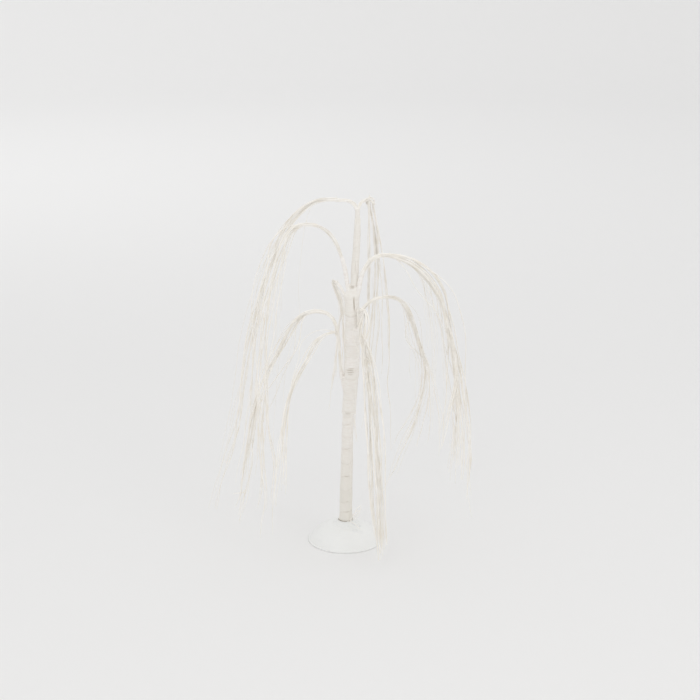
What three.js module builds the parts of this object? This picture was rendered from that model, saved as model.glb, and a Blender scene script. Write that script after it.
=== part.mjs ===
// A small model weeping willow: eight bundles of stiff fibre bound to a taped trunk on a domed base.
// Millimetres, +Z up. The origin is the centre of the base's flat underside.
import * as THREE from 'three';

// Driving dimensions of the base.
const BASE_RADIUS = 25;
const BASE_LIP_HEIGHT = 0.9;
const BASE_LIP_WIDTH = 0.9;
const BASE_HEIGHT = 14.4;
const DOME_CROWN = 11.5;
const DOME_FULLNESS = 3.5;
const SEAT_RADIUS = 5.6;
const COLLAR_RADIUS = 9;
const BASE_SIDES = 32;
const DOME_RINGS = 10;

// The trunk from its foot on the dome to its tip: height above the floor, lean to the right, radius.
// It is bound thicker above BIND_HEIGHT and thins to a leader above SHOULDER_HEIGHT.
const BIND_HEIGHT = 89;
const SHOULDER_HEIGHT = 172;
const TRUNK_TOP = 227;
const TRUNK_SIDES = 14;
const TRUNK_SECTIONS = [
  { height: BASE_HEIGHT, lean: 0.2, radius: 4.5 },
  { height: 20, lean: 0.3, radius: 4.2 },
  { height: 40, lean: 0.7, radius: 4.0 },
  { height: 60, lean: 1.1, radius: 3.8 },
  { height: 76, lean: 1.5, radius: 3.7 },
  { height: BIND_HEIGHT - 1, lean: 2.0, radius: 3.6 },
  { height: BIND_HEIGHT + 1, lean: 2.2, radius: 4.5 },
  { height: 104, lean: 3.3, radius: 4.4 },
  { height: 118, lean: 4.2, radius: 4.8 },
  { height: 134, lean: 4.7, radius: 4.9 },
  { height: 150, lean: 4.6, radius: 4.7 },
  { height: 164, lean: 4.3, radius: 4.6 },
  { height: SHOULDER_HEIGHT - 2, lean: 4.2, radius: 4.3 },
  { height: SHOULDER_HEIGHT + 2, lean: 5.5, radius: 3.0 },
  { height: SHOULDER_HEIGHT + 6, lean: 6.1, radius: 2.5 },
  { height: 190, lean: 6.4, radius: 2.4 },
  { height: 201, lean: 7.2, radius: 2.3 },
  { height: 213, lean: 7.8, radius: 2.1 },
  { height: 224, lean: 7.9, radius: 1.5 },
  { height: TRUNK_TOP, lean: 7.8, radius: 1.3 },
];

// Clear gap between a solid and the one it grows on from, and between a bundle and its curtains.
const GAP = 0.3;
const SPREAD_GAP = 0.5;

// The make of every limb: its sides and steps, and the handles of its curves as a share of the
// distance between two stations.
const LIMB_SIDES = 8;
const RISE_STEPS = 8;
const FALL_STEPS = 8;
const CURTAIN_STEPS = 12;
const HANDLE_SHARE = 0.38;

// How far an outline is uneven, as a share of its size, and how its ripple turns, in radians.
const LIMB_UNEVEN = 0.07;
const CURTAIN_UNEVEN = 0.25;
const RIPPLE_PER_SIDE = 3.1;
const RIPPLE_PER_STEP = 1.9;

// A bundle flattens before it fans: it widens and thins by these factors from crest to spread. Its
// curtains fan until FAN_END of their length, as thin pads, and narrow and thin towards their tips.
const SPREAD_WIDENING = 1.5;
const SPREAD_THINNING = 0.85;
const FAN_END = 0.8;
const FAN_POWER = 1.3;
const CURTAIN_THICK = 2.4;
const TIP_NARROWING = 0.5;
const TIP_THINNING = 0.6;

// Every tuft leaves the trunk at its root, rises to a level crest, falls to its spread, and fans
// from there into curtains of strands. A station's reach is measured from the trunk's axis at
// axisX, its height from the floor, its azimuth from +X towards +Y, and its dip below level along
// the tuft, so 90 hangs straight down and more than 90 curls back inwards.
const TUFTS = [
  {
    name: 'crown_left',
    axisX: 7.8,
    root: { reach: 0.9, height: TRUNK_TOP + GAP, azimuth: 165, dip: -80, thick: 2.2 },
    crest: { reach: 16.5, height: 231.6, azimuth: 160, dip: 0, thick: 2.6 },
    spread: { reach: 55.5, height: 194.5, azimuth: 162, dip: 68 },
    curtains: [
      { reach: 104, height: 11, azimuth: 166, dip: 66, width: 13 },
      { reach: 87, height: 22, azimuth: 156, dip: 76, width: 12 },
      { reach: 76, height: 60, azimuth: 173, dip: 80, width: 9 },
    ],
  },
  {
    name: 'crown_back',
    axisX: 7.8,
    root: { reach: 1.3, height: TRUNK_TOP + GAP, azimuth: 42, dip: -80, thick: 1.8 },
    crest: { reach: 14.5, height: 230.6, azimuth: 62, dip: 0, thick: 1.9 },
    spread: { reach: 21.6, height: 225.6, azimuth: 65, dip: 60 },
    curtains: [
      { reach: 56, height: 46, azimuth: 62, dip: 90, width: 15 },
      { reach: 47, height: 62, azimuth: 84, dip: 90, width: 12 },
    ],
  },
  {
    name: 'upper_left',
    axisX: 3,
    root: { reach: 1.6, height: SHOULDER_HEIGHT + 4, azimuth: 200, dip: -84, thick: 2.5 },
    crest: { reach: 30.7, height: 219.6, azimuth: 203, dip: 0, thick: 2.5 },
    spread: { reach: 50.8, height: 197, azimuth: 204, dip: 72 },
    curtains: [
      { reach: 61, height: 14, azimuth: 206, dip: 86, width: 11 },
      { reach: 73, height: 48, azimuth: 197, dip: 78, width: 10 },
    ],
  },
  {
    name: 'upper_right',
    axisX: 4.5,
    root: { reach: 5.4, height: SHOULDER_HEIGHT + 3, azimuth: 326, dip: -86, thick: 2.7 },
    crest: { reach: 21.3, height: 197.6, azimuth: 350, dip: 0, thick: 2.7 },
    spread: { reach: 60.7, height: 165, azimuth: 349, dip: 77 },
    curtains: [
      { reach: 77, height: 24, azimuth: 347, dip: 92, width: 13 },
      { reach: 67, height: 42, azimuth: 357, dip: 96, width: 12 },
      { reach: 58, height: 76, azimuth: 337, dip: 102, width: 9 },
    ],
  },
  {
    name: 'middle_back',
    axisX: 4.3,
    root: { reach: 5.8, height: 150, azimuth: 112, dip: -86, thick: 2.0 },
    crest: { reach: 25, height: 173, azimuth: 116, dip: 0, thick: 2.0 },
    spread: { reach: 32, height: 150, azimuth: 101, dip: 80 },
    curtains: [
      { reach: 34, height: 58, azimuth: 80, dip: 90, width: 11 },
      { reach: 31, height: 80, azimuth: 108, dip: 92, width: 9 },
    ],
  },
  {
    name: 'middle_right',
    axisX: 4.5,
    root: { reach: 5.9, height: 156, azimuth: 12, dip: -84, thick: 2.2 },
    crest: { reach: 22, height: 167.6, azimuth: 14, dip: 0, thick: 2.2 },
    spread: { reach: 48.7, height: 130, azimuth: 22, dip: 66 },
    curtains: [
      { reach: 31.4, height: 25, azimuth: 46, dip: 109, width: 11 },
      { reach: 64, height: 60, azimuth: 20, dip: 92, width: 10 },
    ],
  },
  {
    name: 'middle_front',
    axisX: 4.5,
    root: { reach: 6.1, height: 147, azimuth: 312, dip: -82, thick: 2.2 },
    crest: { reach: 11, height: 163, azimuth: 303, dip: 0, thick: 2.2 },
    spread: { reach: 21, height: 143, azimuth: 297, dip: 68 },
    curtains: [
      { reach: 57, height: 8, azimuth: 290, dip: 62, width: 9 },
      { reach: 46, height: 26, azimuth: 299, dip: 84, width: 9 },
      { reach: 40, height: 56, azimuth: 282, dip: 90, width: 8 },
    ],
  },
  {
    name: 'lower_left',
    axisX: 3.5,
    root: { reach: 5.6, height: 114, azimuth: 184, dip: -79, thick: 2.4 },
    crest: { reach: 21.8, height: 159.6, azimuth: 184, dip: 0, thick: 2.4 },
    spread: { reach: 46.2, height: 133.3, azimuth: 184, dip: 58 },
    curtains: [
      { reach: 77, height: 16, azimuth: 187, dip: 74, width: 12 },
      { reach: 66, height: 34, azimuth: 178, dip: 80, width: 10 },
    ],
  },
  {
    // A thin side bundle that parts from the lower left one half way up its rise, so it has no rise.
    name: 'lower_left_side',
    axisX: 3.5,
    crest: { reach: 10.2, height: 145.5, azimuth: 186, dip: 0, thick: 1.3 },
    spread: { reach: 31, height: 127, azimuth: 198, dip: 52 },
    curtains: [
      { reach: 63, height: 40, azimuth: 221, dip: 70, width: 9 },
    ],
  },
];

// A cubic in reach and height from one station to the next, leaving and arriving at their dips.
// It begins a clear gap past its first station.
function profileBetween(from, to, gap) {
  const spots = [from, to].map(({ reach, height }) => new THREE.Vector2(reach, height));
  const handle = HANDLE_SHARE * spots[0].distanceTo(spots[1]);
  const [leaving, arriving] = [from, to].map(({ dip }) => {
    const angle = THREE.MathUtils.degToRad(dip);
    return new THREE.Vector2(Math.cos(angle), -Math.sin(angle));
  });
  spots[0].addScaledVector(leaving, gap);
  const handles = [
    spots[0].clone().addScaledVector(leaving, handle),
    spots[1].clone().addScaledVector(arriving, -handle),
  ];
  return new THREE.CubicBezierCurve(spots[0], ...handles, spots[1]);
}

// The curve from one station of a tuft to the next. It swings about the tuft's axis while it runs,
// evenly or settling at both ends, so its ends can point different ways.
class SwungCurve extends THREE.Curve {
  constructor({ axisX, from, to, gap = 0, settles = true }) {
    super();
    this.axisX = axisX;
    this.profile = profileBetween(from, to, gap);
    this.azimuths = [from.azimuth, to.azimuth];
    this.settles = settles;
  }

  azimuthAt(t) {
    const share = this.settles ? THREE.MathUtils.smoothstep(t, 0, 1) : t;
    return THREE.MathUtils.degToRad(THREE.MathUtils.lerp(...this.azimuths, share));
  }

  getPoint(t, target = new THREE.Vector3()) {
    const spot = this.profile.getPoint(t);
    const azimuth = this.azimuthAt(t);
    return target.set(this.axisX + spot.x * Math.cos(azimuth), spot.x * Math.sin(azimuth), spot.y);
  }

  // The level direction across the curve, which a bundle fans along.
  acrossAt(t) {
    const azimuth = this.azimuthAt(t);
    return new THREE.Vector3(-Math.sin(azimuth), Math.cos(azimuth), 0);
  }
}

// A closed body from rings of points: the sides between the rings, and a fan over each end.
function closeRings(rings) {
  const sides = rings[0].length;
  const points = rings.flat();
  const faces = [];
  for (let ring = 0; ring + 1 < rings.length; ring += 1) {
    for (let side = 0; side < sides; side += 1) {
      const next = (side + 1) % sides;
      const [a, b] = [ring * sides + side, ring * sides + next];
      faces.push(a, b, a + sides, b, b + sides, a + sides);
    }
  }
  for (const [ring, flip] of [[0, true], [rings.length - 1, false]]) {
    const middle = new THREE.Vector3();
    rings[ring].forEach((point) => middle.addScaledVector(point, 1 / sides));
    const hub = points.push(middle) - 1;
    for (let side = 0; side < sides; side += 1) {
      const [a, b] = [ring * sides + side, ring * sides + ((side + 1) % sides)];
      faces.push(hub, flip ? b : a, flip ? a : b);
    }
  }
  const geometry = new THREE.BufferGeometry().setFromPoints(points);
  geometry.setIndex(faces);
  return geometry;
}

// Rings along a swung curve. sectionAt(t) gives the width across, the thickness, how far the ring
// is moved across, and how uneven its outline is.
function loft(curve, sectionAt, steps) {
  const rings = [];
  for (let step = 0; step <= steps; step += 1) {
    const t = step / steps;
    const tangent = curve.getTangent(t);
    const across = curve.acrossAt(t);
    across.addScaledVector(tangent, -across.dot(tangent)).normalize();
    const outward = new THREE.Vector3().crossVectors(tangent, across);
    const { width, thick, shift, uneven } = sectionAt(t);
    const centre = curve.getPoint(t).addScaledVector(across, shift);
    const ring = [];
    for (let side = 0; side < LIMB_SIDES; side += 1) {
      const angle = (2 * Math.PI * side) / LIMB_SIDES;
      const ripple = Math.sin(RIPPLE_PER_SIDE * side + RIPPLE_PER_STEP * step + width);
      const bulge = 1 - uneven * (0.5 + 0.5 * ripple);
      ring.push(centre.clone()
        .addScaledVector(across, 0.5 * width * bulge * Math.cos(angle))
        .addScaledVector(outward, 0.5 * thick * bulge * Math.sin(angle)));
    }
    rings.push(ring);
  }
  return closeRings(rings);
}

const group = new THREE.Group();

function addPart(name, geometry, look) {
  const mesh = new THREE.Mesh(geometry, new THREE.MeshStandardMaterial(look));
  mesh.name = name;
  group.add(mesh);
}

// The height of the base's top at a distance from its axis. The dome alone would reach DOME_CROWN at
// the axis, and is fuller at its shoulders than a parabola. A collar of glue climbs from it to the seat.
function domeHeight(radius) {
  const domeRadius = BASE_RADIUS - BASE_LIP_WIDTH;
  const dome = (at) => THREE.MathUtils.lerp(DOME_CROWN, BASE_LIP_HEIGHT, (at / domeRadius) ** DOME_FULLNESS);
  const collar = BASE_HEIGHT - dome(SEAT_RADIUS);
  const away = Math.min(1, (radius - SEAT_RADIUS) / (COLLAR_RADIUS - SEAT_RADIUS));
  return dome(radius) + collar * (1 - away) ** 2;
}

// The base: a flat underside, a thin lip, and a low full dome with a flat seat for the trunk.
function addBase() {
  const profile = [new THREE.Vector2(0, 0), new THREE.Vector2(BASE_RADIUS, 0)];
  profile.push(new THREE.Vector2(BASE_RADIUS, BASE_LIP_HEIGHT));
  for (let ring = 0; ring <= DOME_RINGS; ring += 1) {
    const radius = THREE.MathUtils.lerp(BASE_RADIUS - BASE_LIP_WIDTH, SEAT_RADIUS, ring / DOME_RINGS);
    profile.push(new THREE.Vector2(radius, domeHeight(radius)));
  }
  profile.push(new THREE.Vector2(0, BASE_HEIGHT));
  const geometry = new THREE.LatheGeometry(profile, BASE_SIDES);
  geometry.rotateX(Math.PI / 2);
  addPart('base_dome', geometry, { color: 0xeaeae8, roughness: 0.45, metalness: 0 });
}

// The trunk: level rings from the flat cut on the dome to the tip.
function addTrunk() {
  const rings = TRUNK_SECTIONS.map(({ height, lean, radius }) => {
    const ring = [];
    for (let side = 0; side < TRUNK_SIDES; side += 1) {
      const angle = (2 * Math.PI * side) / TRUNK_SIDES;
      ring.push(new THREE.Vector3(lean + radius * Math.cos(angle), radius * Math.sin(angle), height));
    }
    return ring;
  });
  addPart('trunk', closeRings(rings), { color: 0xe4e0d9, roughness: 0.85, metalness: 0 });
}

const FIBRE = { color: 0xe9e4d8, roughness: 0.7, metalness: 0 };

// One tuft: its rise, its fall, and the curtains that it fans into at the end of the fall.
function addTuft({ name, axisX, root, crest, spread, curtains }) {
  if (root) {
    const rise = new SwungCurve({ axisX, from: root, to: crest });
    const riseSection = (t) => {
      const thick = THREE.MathUtils.lerp(root.thick, crest.thick, t);
      return { width: thick, thick, shift: 0, uneven: LIMB_UNEVEN };
    };
    addPart(`${name}_rise`, loft(rise, riseSection, RISE_STEPS), FIBRE);
  }

  const fall = new SwungCurve({ axisX, from: crest, to: spread, gap: GAP });
  const spreadWidth = crest.thick * SPREAD_WIDENING;
  const spreadThick = crest.thick * SPREAD_THINNING;
  const fallSection = (t) => ({
    width: THREE.MathUtils.lerp(crest.thick, spreadWidth, t),
    thick: THREE.MathUtils.lerp(crest.thick, spreadThick, t),
    shift: 0,
    uneven: LIMB_UNEVEN,
  });
  addPart(`${name}_fall`, loft(fall, fallSection, FALL_STEPS), FIBRE);

  // The curtains start side by side across the bundle, in the order of their azimuths.
  const slot = spreadWidth / curtains.length;
  const order = [...curtains].sort((a, b) => a.azimuth - b.azimuth);
  curtains.forEach((curtain, index) => {
    const hang = new SwungCurve({ axisX, from: spread, to: curtain, gap: SPREAD_GAP, settles: false });
    const shift = (order.indexOf(curtain) - (curtains.length - 1) / 2) * slot;
    const section = (t) => {
      const fanned = Math.min(1, t / FAN_END) ** FAN_POWER;
      const tapered = THREE.MathUtils.smoothstep(t, FAN_END, 1);
      return {
        width: THREE.MathUtils.lerp(slot - GAP, curtain.width, fanned) * (1 - TIP_NARROWING * tapered),
        thick: THREE.MathUtils.lerp(spreadThick, CURTAIN_THICK, fanned) * (1 - TIP_THINNING * tapered),
        shift,
        uneven: CURTAIN_UNEVEN * fanned,
      };
    };
    addPart(`${name}_curtain_${index + 1}`, loft(hang, section, CURTAIN_STEPS), FIBRE);
  });
}

addBase();
addTrunk();
TUFTS.forEach(addTuft);

export default group;
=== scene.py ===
import math
import random

import bpy
import numpy as np
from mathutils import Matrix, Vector


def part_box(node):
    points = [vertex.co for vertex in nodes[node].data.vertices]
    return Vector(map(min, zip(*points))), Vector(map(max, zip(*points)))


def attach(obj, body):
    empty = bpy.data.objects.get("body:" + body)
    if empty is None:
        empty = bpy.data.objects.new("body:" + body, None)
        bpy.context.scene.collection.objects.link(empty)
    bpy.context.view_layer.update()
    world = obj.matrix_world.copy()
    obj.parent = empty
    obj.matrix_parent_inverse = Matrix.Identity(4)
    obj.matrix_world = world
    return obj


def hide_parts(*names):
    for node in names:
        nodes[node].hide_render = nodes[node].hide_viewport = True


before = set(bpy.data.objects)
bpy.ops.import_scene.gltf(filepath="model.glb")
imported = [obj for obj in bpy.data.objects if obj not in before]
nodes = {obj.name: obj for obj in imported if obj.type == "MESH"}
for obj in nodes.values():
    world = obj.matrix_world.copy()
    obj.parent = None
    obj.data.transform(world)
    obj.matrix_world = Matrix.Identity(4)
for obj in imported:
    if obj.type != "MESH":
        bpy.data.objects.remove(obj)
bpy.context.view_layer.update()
mm = 0.001  # every size below is in millimetres, and Blender works in metres
mergeGap = 0.01 * mm


def linear(hexText):  # an sRGB hex colour as linear RGBA
    parts = [int(hexText[i:i + 2], 16) / 255 for i in (1, 3, 5)]
    return [c / 12.92 if c < 0.04045 else ((c + 0.055) / 1.055) ** 2.4 for c in parts] + [1.0]


def setInputs(node, inputs):  # inputs: a value, or the socket to link from
    for name, value in dict(inputs).items():
        if isinstance(value, bpy.types.NodeSocket):
            node.id_data.links.new(value, node.inputs[name])
        else:
            node.inputs[name].default_value = value


def addNode(tree, kind, inputs=(), **settings):
    node = tree.nodes.new("ShaderNode" + kind)
    for name, value in settings.items():
        setattr(node, name, value)
    setInputs(node, inputs)
    return node


def newMaterial(name, roughness):
    material = bpy.data.materials.new(name)
    material.use_nodes = True
    shader = material.node_tree.nodes["Principled BSDF"]
    shader.inputs["Roughness"].default_value = roughness
    return material, material.node_tree, shader


def newObject(name, data):
    thing = bpy.data.objects.new(name, data)
    bpy.context.collection.objects.link(thing)
    return thing


def selectOnly(piece):
    if bpy.context.object and bpy.context.object.mode != "OBJECT":
        bpy.ops.object.mode_set(mode="OBJECT")
    bpy.ops.object.select_all(action="DESELECT")
    piece.select_set(True)
    bpy.context.view_layer.objects.active = piece


def spunFrom(name, outline, steps):  # turned round the z axis from pairs of distance and height
    mesh = bpy.data.meshes.new(name)
    mesh.from_pydata([(x * mm, 0, z * mm) for x, z in outline],
                     [(i, i + 1) for i in range(len(outline) - 1)], [])
    piece = newObject(name, mesh)
    selectOnly(piece)
    bpy.ops.object.mode_set(mode="EDIT")
    bpy.ops.mesh.select_all(action="SELECT")
    bpy.ops.mesh.spin(steps=steps, angle=2 * math.pi, center=(0, 0, 0), axis=(0, 0, 1))
    bpy.ops.mesh.select_all(action="SELECT")
    bpy.ops.mesh.remove_doubles(threshold=mergeGap)
    return piece


def finishPiece(piece, replaced, smoothAngle=40):
    selectOnly(piece)
    bpy.ops.object.transform_apply(location=True, rotation=True, scale=True)
    bpy.ops.object.shade_smooth_by_angle(angle=math.radians(smoothAngle))
    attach(piece, "root")
    if replaced:
        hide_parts(*replaced)
    triangles = sum(len(face.vertices) - 2 for face in piece.data.polygons)
    print(piece.name, "made,", triangles, "triangles")


def coordsOf(mesh):
    spots = np.zeros(len(mesh.vertices) * 3)
    mesh.vertices.foreach_get("co", spots)
    return spots.reshape(-1, 3)


def setCoords(mesh, spots):
    mesh.vertices.foreach_set("co", spots.astype(np.float32).ravel())
    mesh.update()


def addLayer(piece, name, values):  # a number for each vertex, which a material reads by name
    attribute = piece.data.attributes.new(name, "FLOAT", "POINT")
    attribute.data.foreach_set("value", np.clip(values, 0, 1).astype(np.float32))


def softStep(value, start, end):  # 0 up to the start, 1 from the end on, and soft between
    share = np.clip((value - start) / (end - start), 0, 1)
    return share * share * (3 - 2 * share)


def stepAbout(value, middle, ends):  # a soft step from before the middle to after it
    return softStep(value, middle - ends[0], middle + ends[1])


# millimetres, with the pitch in degrees below level
camera = {"place": (3.1, -1088.4, 471.2), "pitch": 17.26, "lens": 90, "sensor": 36}
cameraData = bpy.data.cameras.new("camera")
cameraData.lens = camera["lens"]
cameraData.sensor_width = camera["sensor"]
cameraObject = newObject("camera", cameraData)
cameraObject.location = Vector(camera["place"]) * mm
cameraObject.rotation_euler = (math.radians(90 - camera["pitch"]), 0, 0)
bpy.context.scene.camera = cameraObject


studio = {
    "floorColour": "#ecebea", "bendStart": 1900, "bendRadius": 900, "wallHeight": 1000,
    "sides": 96, "floorSteps": 6, "bendSteps": 24, "worldStrength": 0.92, "worldColour": "#fbfcfd",
    # each soft light: its place, what it aims at, its width, its watts and its colour
    "lights": {
        "softTop": ((-100, 0, 1700), (0, 100, 0), 1200, 1.0, "#fffdf9"),
        "softLeft": ((-450, -1450, 1200), (0, 0, 100), 900, 2.4, "#fffefb"),
        "softRight": ((900, -1200, 1100), (0, 0, 100), 900, 2.1, "#fffefb"),
        "sweepLight": ((-600, 1000, 1100), (-600, 2700, 150), 800, 2.7, "#fdfeff"),
    },
}


def makeStudio():  # a round cove: level floor, a wide bend, and a low wall all round
    outline = [(studio["bendStart"] * step / studio["floorSteps"], 0.0)
               for step in range(studio["floorSteps"])]
    for step in range(studio["bendSteps"] + 1):
        turn = math.pi / 2 * step / studio["bendSteps"]
        outline.append((studio["bendStart"] + studio["bendRadius"] * math.sin(turn),
                        studio["bendRadius"] * (1 - math.cos(turn))))
    outline.append((outline[-1][0], studio["wallHeight"]))
    floor = spunFrom("studioFloor", outline, studio["sides"])
    bpy.ops.object.mode_set(mode="OBJECT")
    bpy.ops.object.shade_smooth()
    # Backdrop paper: plain and matt, with next to no gloss.
    material, _, shader = newMaterial("paintedPaperSweep", 0.9)
    setInputs(shader, {"Base Color": linear(studio["floorColour"]), "Specular IOR Level": 0.1})
    floor.data.materials.append(material)


def addLight(name, place, aim, size, power, colour):
    lightData = bpy.data.lights.new(name, "AREA")
    lightData.shape = "DISK"
    lightData.size = size * mm
    lightData.energy = power
    lightData.color = linear(colour)[:3]
    light = newObject(name, lightData)
    light.location = Vector(place) * mm
    light.rotation_euler = (Vector(aim) - Vector(place)).to_track_quat("-Z", "Y").to_euler()


makeStudio()
world = bpy.data.worlds.new("studioWorld")
world.use_nodes = True
setInputs(world.node_tree.nodes["Background"], {"Color": linear(studio["worldColour"]),
                                                "Strength": studio["worldStrength"]})
bpy.context.scene.world = world
for lightName, lightValues in studio["lights"].items():
    addLight(lightName, *lightValues)
bpy.context.scene.view_settings.view_transform = "Standard"
bpy.context.scene.view_settings.look = "None"
print("camera, floor and lights ready")


def ringsOf(nodeName):  # a limb's rings from end to end, as an array of rings x sides x 3
    mesh = nodes[nodeName].data
    spots, same = np.unique(coordsOf(mesh).round(6), axis=0, return_inverse=True)
    same = same.reshape(-1)
    near = [set() for _ in spots]
    for edge in mesh.edges:
        a, b = int(same[edge.vertices[0]]), int(same[edge.vertices[1]])
        if a != b:
            near[a].add(b)
            near[b].add(a)
    most = max(len(others) for others in near)
    hubs = [i for i, others in enumerate(near) if len(others) == most]
    seen, layer, rings = {hubs[0]}, sorted(near[hubs[0]]), []
    while len(layer) > 1:
        rings.append(spots[layer])
        seen.update(layer)
        layer = sorted(set().union(*(near[i] for i in layer)) - seen)
    return np.array(rings)


def unit(vectors):
    return vectors / np.linalg.norm(vectors, axis=-1, keepdims=True)


def squareTo(across, tangents):
    return unit(across - (across * tangents).sum(axis=1, keepdims=True) * tangents)


def stationsOf(rings, axisX):  # each ring's centre, across, outward, half width, half thickness
    centres = rings.mean(axis=1)
    tangents = unit(np.gradient(centres, axis=0))
    level = unit(centres[:, :2] - np.array([axisX, 0.0]))
    across = np.stack([-level[:, 1], level[:, 0], np.zeros(len(level))], axis=1)
    across = squareTo(across, tangents)
    outward = np.cross(tangents, across)
    offsets = rings - centres[:, None, :]
    wide = np.abs((offsets * across[:, None, :]).sum(axis=2)).max(axis=1)
    thick = np.abs((offsets * outward[:, None, :]).sum(axis=2)).max(axis=1)
    return np.concatenate([centres, across, outward, wide[:, None], thick[:, None]], axis=1)


def towards(rings, start):  # turned so that the first ring is the one nearest to start
    first, last = (np.linalg.norm(rings[end].mean(axis=0) - start) for end in (0, -1))
    return rings[::-1] if first > last else rings


def curveThrough(stations, spots):  # Catmull-Rom through the stations at fractional numbers
    last = len(stations) - 1
    base = np.clip(np.floor(spots).astype(int), 0, last - 1)
    t = (spots - base)[:, None]
    before = stations[np.clip(base - 1, 0, last)]
    here = stations[base]
    after = stations[base + 1]
    beyond = stations[np.clip(base + 2, 0, last)]
    return 0.5 * (2 * here + (after - before) * t
                  + (2 * before - 5 * here + 4 * after - beyond) * t ** 2
                  + (3 * here - before - 3 * after + beyond) * t ** 3)


trunkRings = ringsOf("trunk")
if trunkRings[0][0][2] > trunkRings[-1][0][2]:
    trunkRings = trunkRings[::-1]
trunkHeights = trunkRings[:, :, 2].mean(axis=1)
trunkLean = trunkRings.mean(axis=1)[:, :2]
trunkRadius = np.linalg.norm(trunkRings[:, :, :2] - trunkLean[:, None, :], axis=2).mean(axis=1)
print("trunk rings", len(trunkHeights))


def trunkAt(height):  # centre x, centre y and radius of the trunk at a height, in metres
    return [float(np.interp(height, trunkHeights, values))
            for values in (trunkLean[:, 0], trunkLean[:, 1], trunkRadius)]


sisal = {
    "ior": 1.5, "gloss": 0.45,
    # the duller patches: their spacing, and between which noise values they fade in
    "patchSize": 7.143, "patchDetail": 3.0, "patchFade": {"From Min": 0.35, "From Max": 0.68},
    # each tone: pale and deep colour, roughness, and its share of the strands
    "tones": {
        "bleachedSisal": ("#fcf9f4", "#f5f0e7", 0.42, 0.34),
        "creamSisal": ("#f8f2e6", "#eee5d5", 0.45, 0.36),
        "strawSisal": ("#ede2ce", "#ddcfb5", 0.48, 0.20),
        "driedSisal": ("#d8c8ac", "#c1ac89", 0.50, 0.10),
    },
    "scrapTone": ("#8f8470", "#766b57", 0.60),  # the loose scraps, which have no share
}


def fibreMaterial(name, pale, deep, roughness):
    # Dry plant fibre, stripped and bleached: it gives a cream colour, duller in patches, and a
    # soft lengthwise gloss.
    material, tree, shader = newMaterial(name, roughness)
    coords = addNode(tree, "TexCoord")
    patches = addNode(tree, "TexNoise", {
        "Vector": coords.outputs["Object"], "Scale": 1 / (sisal["patchSize"] * mm),
        "Detail": sisal["patchDetail"]})
    ramp = addNode(tree, "MapRange", {"Value": patches.outputs["Fac"], **sisal["patchFade"]})
    colour = addNode(tree, "Mix", {
        "Factor": ramp.outputs["Result"], "A": linear(pale), "B": linear(deep)}, data_type="RGBA")
    setInputs(shader, {"Base Color": colour.outputs["Result"], "IOR": sisal["ior"],
                       "Specular IOR Level": sisal["gloss"]})
    return material


fibres = [fibreMaterial(name, *tone[:3]) for name, tone in sisal["tones"].items()]
fibres.append(fibreMaterial("agedSisal", *sisal["scrapTone"]))
fibreShares = [tone[3] for tone in sisal["tones"].values()]


castResin = {
    "clean": "#eeeeec", "dropRimColour": "#c3c6c9", "ior": 1.52, "roughness": 0.46,
    # the spacing of the mould's waves, and of a grain that is drawn as coarse as it needs to show
    "waveSize": 6.25, "grainSize": 0.5263, "grainShare": 0.25, "detail": 2.0,
    "bump": 0.35, "bumpDepth": 0.2,
    # between these noise values of the waves, the roughness goes from glossy to dusty
    "dust": {"From Min": 0.3, "From Max": 0.75, "To Min": 0.42, "To Max": 0.58},
    # glue: the colour of the painted shade inside the trunk's hole
    "glue": "#8d8473", "holeShadeRoughness": 0.8,
}
tape = {
    # lapped: the colour of the painted shade on the lap lines, in the creases and at the foot
    "pale": "#f9f6f2", "deep": "#f1ebe5", "aged": "#ebe7df", "lapped": "#a89a86",
    "roughness": 0.78, "gloss": 0.35,
    # wrinkles and level lines, drawn as coarse as they need to show: their spacing and stretch
    "crepeSize": 0.3846, "crepeStretch": (1.0, 1.0, 0.12), "lineSize": 0.9091,
    "lineStretch": (0.22, 0.22, 1.0), "detail": 3.0, "fineness": 0.6,
    "toneFade": {"From Min": 0.42, "From Max": 0.74}, "bump": 0.7, "bumpDepth": 0.16,
}


def resinMaterial():
    # Cast resin, painted white and rubbed to a satin: an even soft sheen with faint mould waves,
    # greyer in a ring round the rim of each glue drop.
    material, tree, shader = newMaterial("satinCastResin", castResin["roughness"])
    coords = addNode(tree, "TexCoord")
    dropRimTint = addNode(tree, "Attribute", attribute_name="dropRimTint")
    colour = addNode(tree, "Mix", {
        "Factor": dropRimTint.outputs["Fac"], "A": linear(castResin["clean"]),
        "B": linear(castResin["dropRimColour"])}, data_type="RGBA")
    waves, grain = (addNode(tree, "TexNoise", {
        "Vector": coords.outputs["Object"], "Scale": 1 / (castResin[size] * mm),
        "Detail": castResin["detail"]}) for size in ("waveSize", "grainSize"))
    both = addNode(tree, "Mix", {
        "Factor": castResin["grainShare"], "A": waves.outputs["Fac"],
        "B": grain.outputs["Fac"]}, data_type="FLOAT")
    bump = addNode(tree, "Bump", {
        "Height": both.outputs["Result"], "Strength": castResin["bump"],
        "Distance": castResin["bumpDepth"] * mm})
    dust = addNode(tree, "MapRange", {"Value": waves.outputs["Fac"], **castResin["dust"]})
    setInputs(shader, {"Base Color": colour.outputs["Result"], "Roughness": dust.outputs["Result"],
                       "Normal": bump.outputs["Normal"], "IOR": castResin["ior"]})
    return material


def holeShadeMaterial():
    # Painted shade in the trunk's hole: dark, dull faces, so that the trunk's foot stands in a
    # dark line of painted shadow.
    material, _, shader = newMaterial("paintedHoleShade", castResin["holeShadeRoughness"])
    setInputs(shader, {"Base Color": linear(castResin["glue"])})
    return material


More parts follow.
